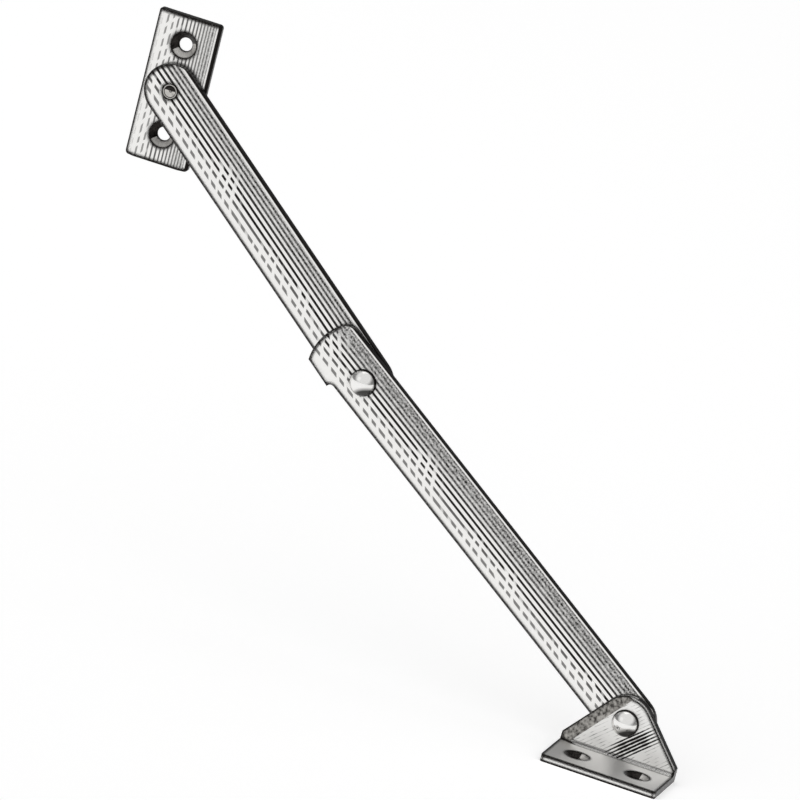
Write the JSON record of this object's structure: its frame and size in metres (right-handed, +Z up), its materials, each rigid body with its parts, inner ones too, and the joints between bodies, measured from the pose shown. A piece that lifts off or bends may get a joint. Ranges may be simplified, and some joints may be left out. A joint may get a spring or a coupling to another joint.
{
  "type": "jointed stay",
  "caption": "Riveted jointed stay: arms fold at an elbow with a stop lug, between a wall plate and an angle bracket, to hold a flap or bottom-hung light open.",
  "frame": {"origin": "middle of the wall plate's back, on the plate pivot's axis", "axes": "+Z up, along the wall plate's long side; +X along the opening, towards the bracket; +Y into the wall"},
  "size_m": [0.2333, 0.0327, 0.1934],
  "materials": {
    "drawn_strip": "bright drawn steel strip, grain along its length",
    "polished_plate": "polished and nickel plated steel",
    "rivet_steel": "bright steel, hammered over",
    "washer_brass": "plain brass"
  },
  "bodies": {
    "wall_side": {"wall_plate": "drawn_strip", "plate_stud": "rivet_steel", "plate_washer": "washer_brass"},
    "upper_arm": {"upper_arm": "drawn_strip", "elbow_washer": "washer_brass"},
    "lower_arm": {"lower_arm": "drawn_strip", "elbow_rivet": "polished_plate", "elbow_burr": "rivet_steel", "bracket_washer": "washer_brass"},
    "bracket": {"bracket": "polished_plate", "bracket_rivet": "polished_plate", "bracket_burr": "rivet_steel"}
  },
  "joints": [
    {"name": "plate_pivot", "type": "hinge", "parent": "wall_side", "child": "upper_arm", "pos_m": [0, -0.00335, 0], "axis": [0, -1, 0], "continuous": true},
    {"name": "elbow", "type": "hinge", "parent": "upper_arm", "child": "lower_arm", "pos_m": [0.08784, -0.00605, -0.07267], "axis": [0, -1, 0], "range_deg": [0, 175]},
    {"name": "bracket_pivot", "type": "hinge", "parent": "lower_arm", "child": "bracket", "pos_m": [0.20224, -0.00875, -0.15337], "axis": [0, -1, 0], "continuous": true}
  ]
}
